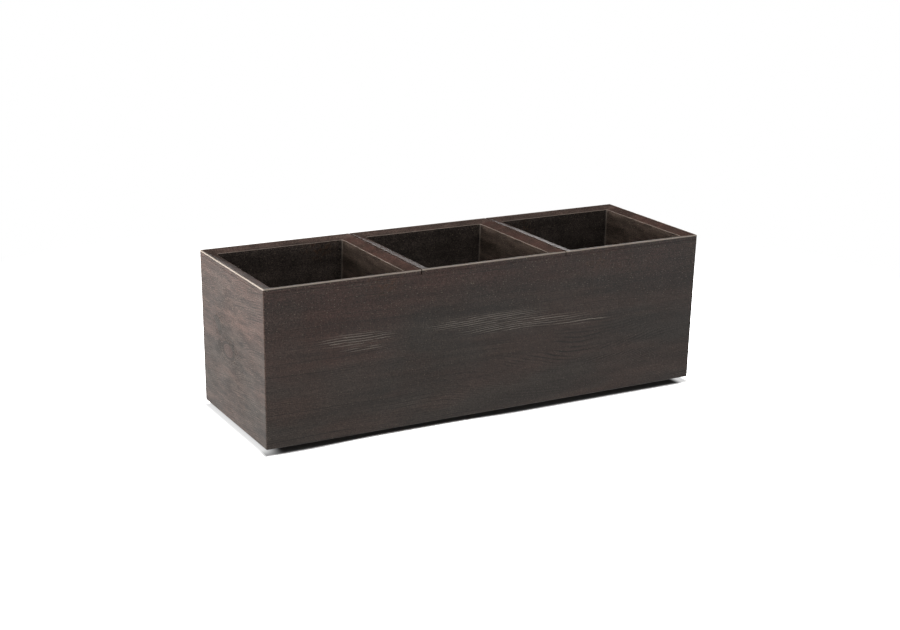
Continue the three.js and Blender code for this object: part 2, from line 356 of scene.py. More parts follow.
# %% Group: the zones of the planter
# In metres. The outer skin is counted from the sides of the box.
HALF_LENGTH, HALF_DEPTH, RIM_TOP = (float(part) for part in cad_box[1])
MOUTH_HEIGHT = RIM_TOP - 0.0056
RIM_START = MOUTH_HEIGHT - 0.0008
OUTER_SKIN = (-0.007, -0.004)
UPRIGHT_LEAN = 0.3
LEFT_END = 0.01 - HALF_LENGTH

zones, got, give = new_group(
    "Zones",
    HERE,
    [("Plane", VECTOR), ("End", NUMBER), ("Level", NUMBER), ("Long Side", NUMBER),
     ("Left End", NUMBER), ("Outside", NUMBER), ("On Rim", NUMBER), ("In Well", NUMBER),
     ("Upright", NUMBER), ("Lean", NUMBER), ("Past Edge", NUMBER)],
)
tree = zones
face = place_group(tree, face_plane, Position=got["Position"], Normal=got["Normal"])
x, y, z = split(tree, got["Position"])
past_end = calc(tree, "SUBTRACT", calc(tree, "ABSOLUTE", x), HALF_LENGTH)
past_side = calc(tree, "SUBTRACT", calc(tree, "ABSOLUTE", y), HALF_DEPTH)
past_edge = calc(tree, "MAXIMUM", past_end, past_side)
outside = step(tree, past_edge, *OUTER_SKIN)
on_rim = step(tree, z, RIM_START, MOUTH_HEIGHT)
lean = calc(tree, "ABSOLUTE", split(tree, got["Normal"])[2])
hand_on(
    tree, give,
    Plane=face["Plane"], End=face["End"], Level=face["Level"],
    Long_Side=opposite(tree, calc(tree, "MAXIMUM", face["End"], face["Level"])),
    Left_End=times(tree, face["End"], calc(tree, "LESS_THAN", x, LEFT_END)),
    Outside=outside, On_Rim=on_rim,
    In_Well=opposite(tree, calc(tree, "MAXIMUM", outside, on_rim)),
    Upright=calc(tree, "LESS_THAN", lean, UPRIGHT_LEAN),
    Lean=lean, Past_Edge=past_edge,
)


def look_round(tree, got):
    """The zones at the place that a group was given."""
    return place_group(tree, zones, Position=got["Position"], Normal=got["Normal"])


# %% [markdown]
# ## Group: the embossed grain
# A board sawn well away from the heart of the trunk shows its yearly rings as long, close
# and nearly level lines. The height on the wall is counted off in rings here, after slow
# noise has bent it a little. Each ring climbs to a hard crest and drops into a narrow
# groove, because on brushed softwood the soft part of each ring is worn away. A lottery
# makes a few rings dark. A knot lays its own rings over these.

# %% Group: the embossed grain
# Sizes of clouds are in millimetres, places within a ring go from 0 to 1.
WAVE_SIZE, TREMBLE_SIZE, TREMBLE = (230, 62), (80, 13), 0.7
CREST_RISE, CREST_FALL = (0.4, 0.6), (0.66, 0.9)
BREAK_SIZE, BREAK_SPAN = (30, 3), (0.26, 0.48)
GROOVE_PLACE, GROOVE_WIDTH, DARK_WIDTH = 0.12, (0.08, 0.3), (0.1, 0.36)
GROOVE_SIZE, GROOVE_SPAN = (90, 14), (0.42, 0.62)
DARK_SIZE, DARK_SPAN, DRAWN = (150, 30), (0.4, 0.6), (0.62, 0.85)
FIBRE_SIZE = (14, 1.1)

embossed_grain, got, give = new_group(
    "Embossed Grain",
    [("Plane", VECTOR, (0, 0, 0)), ("Line Spacing", NUMBER, 4.0), ("Waver", NUMBER, 14.0),
     ("Slope", NUMBER, 0.0), ("Bend", NUMBER, 0.0), ("Knot Rings", NUMBER, 0.0),
     ("Knot Share", NUMBER, 0.0)],
    [("Ridge", NUMBER), ("Groove", NUMBER), ("Dark Ring", NUMBER), ("Fibre", NUMBER)],
)
tree = embossed_grain
plane = got["Plane"]
along, across = split(tree, plane)[:2]
wave = calc(tree, "SUBTRACT", long_clouds(tree, plane, WAVE_SIZE, detail=2.0), 0.5)
tremble = times(tree, long_clouds(tree, plane, TREMBLE_SIZE, detail=2.0), TREMBLE)
height = calc(tree, "MULTIPLY_ADD", along, got["Slope"], across)
height = calc(tree, "ADD", height, times(tree, wave, got["Waver"], 2.0))
height = calc(tree, "ADD", height, got["Bend"])
rings = calc(tree, "ADD", calc(tree, "DIVIDE", height, got["Line Spacing"]), tremble)
rings = blend_numbers(tree, got["Knot Share"], rings, got["Knot Rings"])

within = calc(tree, "FRACT", rings)
crest = times(tree, step(tree, within, *CREST_RISE), fall(tree, within, *CREST_FALL))
whole = step(tree, long_clouds(tree, plane, BREAK_SIZE, detail=1.0), *BREAK_SPAN)
from_groove = apart(tree, within, GROOVE_PLACE)
# The groove mask is used for painted shade in the grooves.
groove_shade = fall(tree, from_groove, *GROOVE_WIDTH)
kept = step(tree, long_clouds(tree, plane, GROOVE_SIZE, detail=2.0), *GROOVE_SPAN)

lottery = tree.nodes.new("ShaderNodeTexWhiteNoise")
lottery.noise_dimensions = "1D"
put(tree, lottery.inputs["W"], calc(tree, "FLOOR", rings))
drawn = step(tree, lottery.outputs["Value"], *DRAWN)
fade = step(tree, long_clouds(tree, plane, DARK_SIZE, detail=1.0), *DARK_SPAN)
broad_groove = fall(tree, from_groove, *DARK_WIDTH)
hand_on(
    tree, give,
    Ridge=times(tree, crest, whole), Groove=times(tree, groove_shade, kept),
    Dark_Ring=times(tree, drawn, fade, broad_groove),
    Fibre=long_clouds(tree, plane, FIBRE_SIZE, detail=3.0, roughness=0.6),
)

# %% [markdown]
# ## Group: the grain as it lies on this planter
# The plate of the long sides dips like an arch at the lower right, as a board does where
# the saw came near the heart. The plate of the left end slopes a little and has two
# knots. The lines part above and below a knot and close again beyond it, and near the
# knot its own rings take over. The distances from the knots are handed on for later.

# %% Group: the grain as it lies on this planter
LINE_SPACING, WAVER, END_SLOPE = 3.4, 10.0, 0.13
KNOT, KNOT_REACH = (19, 126), (22, 12)
SMALL_KNOT, SMALL_KNOT_REACH = (58, 159), (13, 9)
KNOT_RINGS, KNOT_RINGS_REACH = 3.4, (0.9, 2.3)
KNOT_PARTING, KNOT_PARTING_REACH = -0.7, (0.6, 3.4)
ARCH, ARCH_REACH, ARCH_DIP = (160, 62), (270, 105), 34.0

laid_grain, got, give = new_group(
    "Laid Grain",
    HERE,
    [("Ridge", NUMBER), ("Groove", NUMBER), ("Dark Ring", NUMBER), ("Fibre", NUMBER),
     ("Knot", NUMBER), ("Core", NUMBER), ("Pith", NUMBER)],
)
tree = laid_grain
here = look_round(tree, got)
core = spot_at(tree, here["Plane"], KNOT, KNOT_REACH)["Distance"]
pith = spot_at(tree, here["Plane"], SMALL_KNOT, SMALL_KNOT_REACH)["Distance"]
knot = calc(tree, "MINIMUM", core, pith)
arch = spot_at(tree, here["Plane"], ARCH, ARCH_REACH)["Mask"]
dip = times(tree, arch, ARCH_DIP, here["Long Side"])
above_knot = calc(tree, "SUBTRACT", split(tree, here["Plane"])[1], KNOT[1])
parting = fall(tree, knot, *KNOT_PARTING_REACH, KNOT_PARTING)
parting = times(tree, parting, above_knot, here["Left End"])
grain = place_group(
    tree, embossed_grain,
    Plane=here["Plane"], Line_Spacing=LINE_SPACING, Waver=WAVER,
    Slope=times(tree, here["End"], END_SLOPE), Bend=calc(tree, "ADD", dip, parting),
    Knot_Rings=times(tree, knot, KNOT_RINGS),
    Knot_Share=times(tree, here["Left End"], fall(tree, knot, *KNOT_RINGS_REACH)),
)
hand_on(
    tree, give,
    Ridge=grain["Ridge"], Groove=grain["Groove"], Dark_Ring=grain["Dark Ring"],
    Fibre=grain["Fibre"], Knot=knot, Core=core, Pith=pith,
)

# %% [markdown]
# ## Group: the press of the plate
# A grain plate doesn't press evenly. On the long sides two bands stand out, with a painted
# sheen on their crests. A few faint patches are spread over the rest, and the knots are
# pressed a little too. Inside the planter the grain is much shallower.

# %% Group: the press of the plate
PRESSED_BANDS = (
    ((-245, 167), (84, 14)),
    ((-235, 151), (48, 6)),
    ((-10, 168), (140, 13)),
    ((60, 152), (150, 12)),
    ((165, 142), (70, 6)),
)
BAND_EDGE = (0.45, 1.0)
PATCH_SCALE, PATCH_SPAN, PATCH_PRESS = 0.012, (0.45, 0.75), 0.12
KNOT_PRESS_REACH, KNOT_PRESS = (1.1, 2.6), 0.15

press_marks, got, give = new_group(
    "Press Marks",
    HERE + [("Knot", NUMBER, 9.0), ("Inner Relief", NUMBER, 0.2)],
    [("Press", NUMBER)],
)
tree = press_marks
here = look_round(tree, got)
bands = 0.0
for centre, reach in PRESSED_BANDS:
    distance = spot_at(tree, here["Plane"], centre, reach)["Distance"]
    bands = calc(tree, "MAXIMUM", bands, fall(tree, distance, *BAND_EDGE))
patch = step(tree, clouds(tree, here["Plane"], PATCH_SCALE, detail=1.0), *PATCH_SPAN)
press = calc(
    tree, "MAXIMUM", times(tree, bands, here["Long Side"]), times(tree, patch, PATCH_PRESS)
)
knot_press = fall(tree, got["Knot"], *KNOT_PRESS_REACH, KNOT_PRESS)
knot_press = times(tree, here["Left End"], knot_press)
press = calc(tree, "MAXIMUM", press, knot_press)
depth = blend_numbers(tree, here["Outside"], got["Inner Relief"], 1.0)
hand_on(tree, give, Press=times(tree, press, depth))

# %% [markdown]
# ## Group: the browns
# The composite drifts slowly between two browns, as the wood flour in it does. Towards
# the top of the walls it turns redder, and at two places near the top edge of the long
# sides it has a warm stain. Down in the wells the browns carry painted light: the long
# walls get a paler brown against their shade, and the end walls are painted lighter
# towards the back and deeper down, where their shade falls. The rim at the back gets a
# paler brown too, as painted light.

# %% Group: the browns
BROWN = paint(72, 59, 53)
GREY_BROWN = paint(66, 59, 54)
RED_BROWN = paint(86, 60, 53)
WARM_STAIN = paint(112, 76, 48)
LONG_WELL_BROWN_WITH_PAINTED_LIGHT = paint(84, 77, 72)
END_WELL_BROWN_WITH_PAINTED_LIGHT = paint(62, 53, 47)
PAINTED_LIGHT_RIM_BROWN = paint(98, 83, 76)
WARM_SPOTS = (((-198, 250), (48, 34)), ((195, 245), (40, 26)))
STAIN_SCALE, STAIN_SPAN, STAIN_SHARE = 0.16, (0.4, 0.75), 0.5
DRIFT_SIZE, DRIFT_SPAN = (190, 48), (0.36, 0.64)
RED_SCALE, RED_PATCHES, RED_AT_THE_ENDS = 0.015, (0.35, 0.8), 0.45
RED_TOP, WELL_PAINTED_LIGHT_SHARE = 0.262, 0.85

# Each of these: from where, to where, the value there and the value beyond.
RED_STARTS = (-0.26, -0.1, 0.02, 0.185)
BACK_RIM_PAINTED_LIGHT = (0.104, 0.116, 0.0, 0.6)
PAINTED_WELL_LIGHT_TO_THE_BACK = (0.0, 0.085, 1.0, 1.4)
PAINTED_WELL_LIGHT_DEEP_DOWN = (0.205, 0.25, 2.6, 1.0)

browns, got, give = new_group("Browns", HERE, [("Colour", COLOUR)])
tree = browns
here = look_round(tree, got)
plane = here["Plane"]
x, y, z = split(tree, got["Position"])
drift = step(tree, long_clouds(tree, plane, DRIFT_SIZE, detail=3.0), *DRIFT_SPAN)
colour = blend_colours(tree, drift, BROWN, GREY_BROWN)

red_height = step(tree, z, step(tree, x, *RED_STARTS), RED_TOP)
red_patches = spread_out(tree, clouds(tree, plane, RED_SCALE, detail=2.0), *RED_PATCHES)
red_share = blend_numbers(tree, here["End"], 1.0, RED_AT_THE_ENDS)
red = times(tree, red_height, red_patches, red_share)
colour = blend_colours(tree, red, colour, RED_BROWN)

# Painted light: the rim at the back gets a paler brown, for the light that it catches.
back_rim_painted_light = times(tree, here["On Rim"], step(tree, y, *BACK_RIM_PAINTED_LIGHT), here["Level"])
colour = blend_colours(tree, back_rim_painted_light, colour, PAINTED_LIGHT_RIM_BROWN)
# Painted light: the end walls of the wells lighter towards the back and deeper down, where shade
# falls.
painted_well_light = times(tree, step(tree, y, *PAINTED_WELL_LIGHT_TO_THE_BACK), step(tree, z, *PAINTED_WELL_LIGHT_DEEP_DOWN))
end_well_brown_with_painted_light = darken(tree, END_WELL_BROWN_WITH_PAINTED_LIGHT, painted_well_light)
well_brown_with_painted_light = blend_colours(tree, here["End"], LONG_WELL_BROWN_WITH_PAINTED_LIGHT, end_well_brown_with_painted_light)
colour = blend_colours(tree, times(tree, here["In Well"], WELL_PAINTED_LIGHT_SHARE), colour, well_brown_with_painted_light)

left_stain, right_stain = (spot_at(tree, plane, *spot)["Mask"] for spot in WARM_SPOTS)
stain = calc(tree, "ADD", left_stain, right_stain)
stain_patches = step(tree, clouds(tree, plane, STAIN_SCALE, detail=2.0), *STAIN_SPAN)
stain = times(tree, stain, here["Long Side"], stain_patches, STAIN_SHARE)
hand_on(tree, give, Colour=blend_colours(tree, stain, colour, WARM_STAIN))

# %% [markdown]
# ## Group: light and dark in the wood
# Real wood is never one tone. Fine streaks follow the fibres, broader belts follow the
# rings, and a fine mottle lies over both, stronger towards the top. Over these tones lies
# painted shade: the walls turn lighter or darker along their height and length, and the
# outer band of the inserts is a little darker. All of them are shares of light, so they
# are multiplied, and one number is handed on.

# %% Group: wood tones and painted shade
UPPER_HALF, ABOVE_THE_FOOT = (0.13, 0.26), (0.03, 0.09)

# Streaks: on the sides, then on the ends. Grit: low on a wall, then high on it.
STREAK_SPAN, STREAK_FAINT, STREAK_STRONG = (0.3, 0.75), (0.92, 0.72), (1.09, 1.3)
GRIT_SCALE, GRIT_DARK, GRIT_PALE = 0.5, (0.6, 0.3), (1.4, 1.7)

# The size of each noise, then the darkest and the palest that it makes.
SIDE_BELT_SIZE, SIDE_BELT = (210, 13), (0.78, 1.22)
END_BELT_SIZE, END_BELT = (60, 9), (0.6, 1.36)
WORN_SCALE, WORN = 0.03, (0.82, 1.2)

# Painted shade, each of these: from where, to where, the share of light there and beyond.
PAINTED_END_SHADE = (0.02, 0.22, 0.9, 1.09)
PAINTED_SIDE_FOOT, PAINTED_SIDE_TOP = (0.04, 0.1, 1.07, 1.0), (0.165, 0.19, 1.0, 0.75)
PAINTED_SIDE_MIDDLE, PAINTED_SIDE_RIGHT = (-0.2, -0.02, 1.0, 0.92), (0.1, 0.4, 1.0, 0.78)

tones_and_painted_shade, got, give = new_group(
    "Wood Tones and Painted Shade",
    HERE + [("Fibre", NUMBER, 0.5), ("Rim Face Shade", NUMBER, 1.0)],
    [("Shade", NUMBER), ("High", NUMBER)],
)
tree = tones_and_painted_shade
here = look_round(tree, got)
plane, is_end = here["Plane"], here["End"]
place = split(tree, got["Position"])
x, z = place["X"], place["Z"]
high = step(tree, z, *UPPER_HALF)

faint = blend_numbers(tree, is_end, *STREAK_FAINT)
strong = blend_numbers(tree, is_end, *STREAK_STRONG)
streak = step(tree, got["Fibre"], *STREAK_SPAN, faint, strong)
side_belt = long_clouds(tree, plane, SIDE_BELT_SIZE, detail=3.0, roughness=0.6)
side_belt = spread_out(tree, side_belt, *SIDE_BELT)
end_belt = long_clouds(tree, plane, END_BELT_SIZE, detail=3.0, roughness=0.7)
end_belt = spread_out(tree, end_belt, *END_BELT)
belt = blend_numbers(tree, is_end, side_belt, end_belt)
dark_grit = blend_numbers(tree, high, *GRIT_DARK)
pale_grit = blend_numbers(tree, high, *GRIT_PALE)
grit = clouds(tree, plane, GRIT_SCALE, detail=2.0, roughness=0.7)
mottle = spread_out(tree, grit, dark_grit, pale_grit)
worn = spread_out(tree, clouds(tree, plane, WORN_SCALE, detail=3.0, roughness=0.6), *WORN)
worn = blend_numbers(tree, here["Outside"], worn, 1.0)

# Painted shade: the left end darker towards its foot; the long sides lighter at the foot, darker
# at the top and to the right.
painted_end_shade = blend_numbers(tree, is_end, 1.0, step(tree, z, *PAINTED_END_SHADE))
low_and_top = times(tree, step(tree, z, *PAINTED_SIDE_FOOT), step(tree, z, *PAINTED_SIDE_TOP))
to_the_right = times(tree, step(tree, x, *PAINTED_SIDE_MIDDLE), step(tree, x, *PAINTED_SIDE_RIGHT))
to_the_right = blend_numbers(tree, step(tree, z, *ABOVE_THE_FOOT), 1.0, to_the_right)
painted_long_shade = times(tree, low_and_top, to_the_right)
painted_long_shade = blend_numbers(tree, here["Long Side"], 1.0, painted_long_shade)
# Painted shade: the outer band of the inserts is darkened by Rim Face Shade, to even its sheen
# with the case.
rim_face = times(tree, here["Outside"], here["Upright"])
painted_rim_face_shade = blend_numbers(tree, rim_face, 1.0, got["Rim Face Shade"])
hand_on(
    tree, give,
    Shade=times(tree, streak, belt, mottle, painted_end_shade, worn, painted_long_shade, painted_rim_face_shade),
    High=high,
)

# %% [markdown]
# ## Group: dark marks
# The grooves are darkened, as painted shade where the relief sinks, and a few yearly rings
# are dark in themselves. They show best in the arch at the lower right. On the left end
# the core of the larger knot has a brown of its own inside a dark ring of bark, the smaller
# knot is dark, and smudges lie round both. The group takes a colour and hands it on with
# the marks laid over it.

# %% Group: dark marks
DARK_RING_AND_SHADE_BROWN = paint(38, 32, 28)
KNOT_BROWN = paint(66, 52, 48)
LINED, LINED_REACH = (230, 80), (330, 110)
CARVED, CARVED_BY_PRESS, CARVED_IN_THE_ARCH, CARVED_ENDS = 0.4, 0.35, 0.85, 0.75
DARK_RING_SHARE, DARK_SHARE_INSIDE = 0.85, 0.3
HEARTWOOD_EDGE, HEARTWOOD_SHARE = (0.85, 1.0), 0.75
BARK_PLACE, BARK_WIDTH, BARK_SHARE = 1.05, (0.06, 0.3), 0.8
PITH_EDGE, PITH_SHARE = (0.4, 1.3), 0.6
SMUDGE_EDGE, SMUDGED_FIBRES = (0.05, 0.5), (0.35, 0.6, 0.45, 0.85)
KNOT_SMUDGES = (
    ((56, 123), (13, 20)),
    ((68, 116), (14, 13)),
    ((-3, 138), (8, 13)),
    ((66, 166), (22, 10)),
    ((53, 152), (14, 13)),
    ((-39, 153), (16, 5)),
)

dark_marks, got, give = new_group(
    "Dark Marks",
    HERE + [("Colour", COLOUR, WHITE), ("Press", NUMBER, 0.0), ("Groove", NUMBER, 0.0),
            ("Dark Ring", NUMBER, 0.0), ("Fibre", NUMBER, 0.5), ("Core", NUMBER, 9.0),
            ("Pith", NUMBER, 9.0)],
    [("Colour", COLOUR)],
)
tree = dark_marks
here = look_round(tree, got)
lined = times(tree, spot_at(tree, here["Plane"], LINED, LINED_REACH)["Mask"], here["Long Side"])
carved = calc(tree, "MULTIPLY_ADD", lined, CARVED_IN_THE_ARCH, CARVED)
carved = blend_numbers(tree, here["End"], carved, CARVED_ENDS)
carved = calc(tree, "MULTIPLY_ADD", got["Press"], CARVED_BY_PRESS, carved)
# Painted shade: the grooves darkened where the relief sinks, most in the arch and the pressed
# bands.
groove_shade = times(tree, got["Groove"], carved)
groove_shade_and_dark_rings = calc(tree, "MAXIMUM", groove_shade, times(tree, got["Dark Ring"], DARK_RING_SHARE))
groove_shade_and_dark_rings = times(tree, groove_shade_and_dark_rings, blend_numbers(tree, here["Outside"], DARK_SHARE_INSIDE, 1.0))
colour = blend_colours(tree, groove_shade_and_dark_rings, got["Colour"], DARK_RING_AND_SHADE_BROWN)

heartwood = fall(tree, got["Core"], *HEARTWOOD_EDGE, HEARTWOOD_SHARE)
heartwood = times(tree, here["Left End"], heartwood)
colour = blend_colours(tree, heartwood, colour, KNOT_BROWN)
bark = fall(tree, apart(tree, got["Core"], BARK_PLACE), *BARK_WIDTH, BARK_SHARE)
pith = fall(tree, got["Pith"], *PITH_EDGE, PITH_SHARE)
knots = times(tree, here["Left End"], calc(tree, "MAXIMUM", bark, pith))
colour = blend_colours(tree, knots, colour, DARK_RING_AND_SHADE_BROWN)

smudges = 0.0
for centre, reach in KNOT_SMUDGES:
    mask = spot_at(tree, here["Plane"], centre, reach)["Mask"]
    smudges = calc(tree, "MAXIMUM", smudges, mask)
smudge_share = step(tree, got["Fibre"], *SMUDGED_FIBRES)
smudges = step(tree, smudges, *SMUDGE_EDGE, 0.0, smudge_share)
smudges = times(tree, smudges, here["Left End"])
hand_on(tree, give, Colour=blend_colours(tree, smudges, colour, DARK_RING_AND_SHADE_BROWN))

# %% [markdown]
# ## Group: pale fibres
# The composite is wood flour and chopped fibre in dark plastic. Where a fibre lies in
# the skin it shows as a pale fleck a millimetre or two long. A cell pattern gives each
# fleck a place of its own. Two lotteries by cell leave most cells empty, and make many
# of the others faint and few of them bright.

# %% Group: pale fibres
WALL_SHIFT, FLECK_LENGTH = 57.0, 1.6
FLECK_REACH, FLECK_CORE, FAINTNESS = 0.12, 0.4, 1.5

pale_fibres, got, give = new_group(
    "Pale Fibres",
    [("Plane", VECTOR, (0, 0, 0)), ("Fleck Spacing", NUMBER, 4.0), ("Share", NUMBER, 0.4)],
    [("Mask", NUMBER)],
)
tree = pale_fibres
along, across, plate = split(tree, got["Plane"])
along = calc(tree, "MULTIPLY_ADD", plate, WALL_SHIFT, along)
on_wall = combine(tree, calc(tree, "DIVIDE", along, FLECK_LENGTH), across, 0.0)
spacing = combine(tree, got["Fleck Spacing"], got["Fleck Spacing"], 1.0)
cells = tree.nodes.new("ShaderNodeTexVoronoi")
cells.voronoi_dimensions = "2D"
put(tree, cells.inputs["Vector"], vector_calc(tree, "DIVIDE", on_wall, spacing))
cells.inputs["Scale"].default_value = 1.0
chance, strength, extent = split(tree, cells.outputs["Color"])
reach = calc(tree, "MULTIPLY_ADD", extent, FLECK_REACH, FLECK_REACH)
fleck = fall(tree, cells.outputs["Distance"], times(tree, reach, FLECK_CORE), reach)
fleck = times(tree, fleck, calc(tree, "POWER", strength, FAINTNESS))
there = calc(tree, "LESS_THAN", chance, got["Share"])
hand_on(tree, give, Mask=times(tree, fleck, there))

# %% [markdown]
# ## Group: edge highlights
# Rounded edges catch the light, and a painted highlight lifts their colour. An edge is
# where the surface faces between two main directions, so the mask asks how far the normal
# is from the nearest one. A little noise keeps the line from looking drawn with a ruler.

# %% Group: edge highlights
TURNING_SPAN, HIGHLIGHT_PATCH_SCALE = (0.86, 0.965), 0.05

edge_highlights, got, give = new_group(
    "Edge Highlights",
    [("Plane", VECTOR, (0, 0, 0)), ("Normal", VECTOR, (0, 0, 1)), ("Patchiness", NUMBER, 0.5)],
    [("Mask", NUMBER)],
)
tree = edge_highlights
parts = [calc(tree, "ABSOLUTE", part) for part in split(tree, got["Normal"])]
square_on = calc(tree, "MAXIMUM", calc(tree, "MAXIMUM", parts[0], parts[1]), parts[2])
turning = fall(tree, square_on, *TURNING_SPAN)
worst = opposite(tree, got["Patchiness"])
patches = spread_out(tree, clouds(tree, got["Plane"], HIGHLIGHT_PATCH_SCALE, detail=3.0), worst, 1.0)
hand_on(tree, give, Mask=times(tree, turning, patches))

# %% [markdown]
# ## Group: pale marks
# Pale things come last, on top of the dark marks: a painted sheen on the crests of the
# pressed bands, the fibres in the skin, a painted highlight along the mouths and inner
# corners of the wells, and another along the crown of the outer edge. The crown is found
# by its place, because a rounding of a millimetre is too small to be found by its normal.
# The fine joint under the rims is the only dark line among them.

# %% Group: pale marks
PAINTED_RIDGE_SHEEN = paint(160, 150, 140)
FIBRE_PALE = paint(150, 138, 122)
EDGE_HIGHLIGHT = paint(188, 175, 162)
SHEEN_POWER = 1.4
FLECK_SPACING, FLECK_SHARE = 3.8, 0.7
DUST_SPACING, DUST_SHARE, DUST_STRENGTH = 2.0, 0.75, 0.75
FIBRES_LOW_AND_HIGH = (0.4, 0.85)
HIGHLIGHT_PATCHINESS, CORNER_HIGHLIGHT = 0.35, 0.3
MOUTH_EDGE, MOUTH_LEAN = (RIM_TOP - 0.003, RIM_TOP - 0.0045), (0.15, 0.4)
CROWN_SIDE, CROWN_TOP = (-0.0024, -0.0014), (RIM_TOP - 0.0022, RIM_TOP - 0.0012)
CROWN_SHARE = 0.95
SEAM_HEIGHT, SEAM_WIDTH, SEAM_SHARE = RIM_TOP - 0.0075, (0.0004, 0.0012), 0.15

pale_marks, got, give = new_group(
    "Pale Marks",
    HERE + [("Colour", COLOUR, WHITE), ("Ridge", NUMBER, 0.0), ("Press", NUMBER, 0.0),
            ("High", NUMBER, 0.0)],
    [("Colour", COLOUR)],
)
tree = pale_marks
here = look_round(tree, got)
z = split(tree, got["Position"])["Z"]
# Painted highlight: a pale sheen on the crests of the pressed bands.
painted_ridge_sheen = times(tree, got["Ridge"], calc(tree, "POWER", got["Press"], SHEEN_POWER))
colour = blend_colours(tree, painted_ridge_sheen, got["Colour"], PAINTED_RIDGE_SHEEN)

flecks = place_group(
    tree, pale_fibres, Plane=here["Plane"], Fleck_Spacing=FLECK_SPACING, Share=FLECK_SHARE
)
dust = place_group(
    tree, pale_fibres, Plane=here["Plane"], Fleck_Spacing=DUST_SPACING, Share=DUST_SHARE
)
fibres = calc(tree, "MULTIPLY_ADD", dust["Mask"], DUST_STRENGTH, flecks["Mask"])
fibres = times(tree, fibres, blend_numbers(tree, got["High"], *FIBRES_LOW_AND_HIGH))
colour = blend_colours(tree, fibres, colour, FIBRE_PALE)

edge_highlight = place_group(
    tree, edge_highlights, Plane=here["Plane"], Normal=got["Normal"], Patchiness=HIGHLIGHT_PATCHINESS
)
inside = opposite(tree, here["Outside"])
# Painted highlight along the mouths and in the inner corners of the wells.
in_corner = times(tree, inside, here["Upright"], CORNER_HIGHLIGHT)
at_mouth = times(
    tree, step(tree, z, *MOUTH_EDGE), step(tree, here["Lean"], *MOUTH_LEAN), inside
)
painted_edge_highlight = times(tree, edge_highlight["Mask"], calc(tree, "MAXIMUM", at_mouth, in_corner))
colour = blend_colours(tree, painted_edge_highlight, colour, EDGE_HIGHLIGHT)

# Painted highlight along the crown of the outer edge.
painted_crown_highlight = times(
    tree, step(tree, here["Past Edge"], *CROWN_SIDE), step(tree, z, *CROWN_TOP), CROWN_SHARE
)
colour = blend_colours(tree, painted_crown_highlight, colour, EDGE_HIGHLIGHT)
seam = fall(tree, apart(tree, z, SEAM_HEIGHT), *SEAM_WIDTH, SEAM_SHARE)
seam = times(tree, seam, here["Outside"])
hand_on(tree, give, Colour=blend_colours(tree, seam, colour, DARK_RING_AND_SHADE_BROWN))

# %% [markdown]
# ## Group: the skin of a moulding
# Moulded plastic is never quite smooth. The spark-worn steel of the mould leaves fine
# pebbles, and the skin shines a little more in some places than in others. Both come
# from noise at two sizes, one for the height and one for the shine.

# %% Group: the skin of a moulding
MILLIMETRES_IN_A_METRE, SHINE_SCALE = 1000.0, 14.0

mould_skin, got, give = new_group(
    "Mould Skin",
    [("Position", VECTOR, (0, 0, 0)), ("Pebble Size", NUMBER, 1.2)],
    [("Height", NUMBER), ("Shine", NUMBER)],
)
tree = mould_skin
pebbles = calc(tree, "DIVIDE", MILLIMETRES_IN_A_METRE, got["Pebble Size"])
hand_on(
    tree, give,
    Height=clouds(tree, got["Position"], pebbles, detail=2.0, roughness=0.6),
    Shine=clouds(tree, got["Position"], SHINE_SCALE, detail=3.0, roughness=0.55),
)

# %% [markdown]
# ## The composite
# Both the case and the inserts are moulded in the same stuff. The case carries the full
# grain plate, while the inserts have it on their rims only, and hardly any inside. So
# one function puts the groups together, and each of the two gets its own values. Relief
# is in millimetres, which the bump turns into metres.

# %% The composite
LOW_CREST, PRESSED_CREST = 0.08, 0.9
FIBRE_RELIEF, PEBBLE_RELIEF, MILLIMETRE = 0.06, 0.05, 0.001
PEBBLE_SIZE, SHINE_SWING, CREST_POLISH = 1.3, 0.25, 0.1
OUTER_ROUGHNESS = 0.45


def composite(name, relief, roughness, gloss, inner_relief, rim_face_shade):
    """The wood-fibre composite, with its grain embossed by relief millimetres."""
    material, tree, shader, here = new_material(name)
    zone = place_group(tree, zones, **here)
    grain = place_group(tree, laid_grain, **here)
    ridge, fibre = grain["Ridge"], grain["Fibre"]
    press = place_group(
        tree, press_marks, Knot=grain["Knot"], Inner_Relief=inner_relief, **here
    )["Press"]

    wood = place_group(tree, tones_and_painted_shade, Fibre=fibre, Rim_Face_Shade=rim_face_shade, **here)
    colour = darken(tree, place_group(tree, browns, **here)["Colour"], wood["Shade"])
    colour = place_group(
        tree, dark_marks, Colour=colour, Press=press, Groove=grain["Groove"],
        Dark_Ring=grain["Dark Ring"], Fibre=fibre, Core=grain["Core"], Pith=grain["Pith"], **here
    )["Colour"]
    colour = place_group(
        tree, pale_marks, Colour=colour, Ridge=ridge, Press=press, High=wood["High"], **here
    )["Colour"]
    put(tree, shader.inputs["Base Color"], colour)

    skin = place_group(tree, mould_skin, Position=here["Position"], Pebble_Size=PEBBLE_SIZE)
    shine = calc(tree, "SUBTRACT", skin["Shine"], 0.5)
    rough = calc(tree, "MULTIPLY_ADD", shine, SHINE_SWING, roughness)
    rough = calc(tree, "SUBTRACT", rough, times(tree, ridge, press, CREST_POLISH))
    outer = times(tree, zone["Outside"], zone["Upright"], OUTER_ROUGHNESS - roughness)
    put(tree, shader.inputs["Roughness"], calc(tree, "ADD", rough, outer))
    shader.inputs["Specular IOR Level"].default_value = gloss

    crest = calc(tree, "MULTIPLY_ADD", press, PRESSED_CREST, LOW_CREST)
    height = times(tree, ridge, crest, relief)
    height = calc(tree, "MULTIPLY_ADD", fibre, FIBRE_RELIEF, height)
    height = calc(tree, "MULTIPLY_ADD", skin["Height"], PEBBLE_RELIEF, height)
    emboss(tree, shader, height, MILLIMETRE)
    return material


case_composite = composite(
    "Outer Composite",
    relief=0.5, roughness=0.45, gloss=0.3, inner_relief=0.2, rim_face_shade=1.0,
)
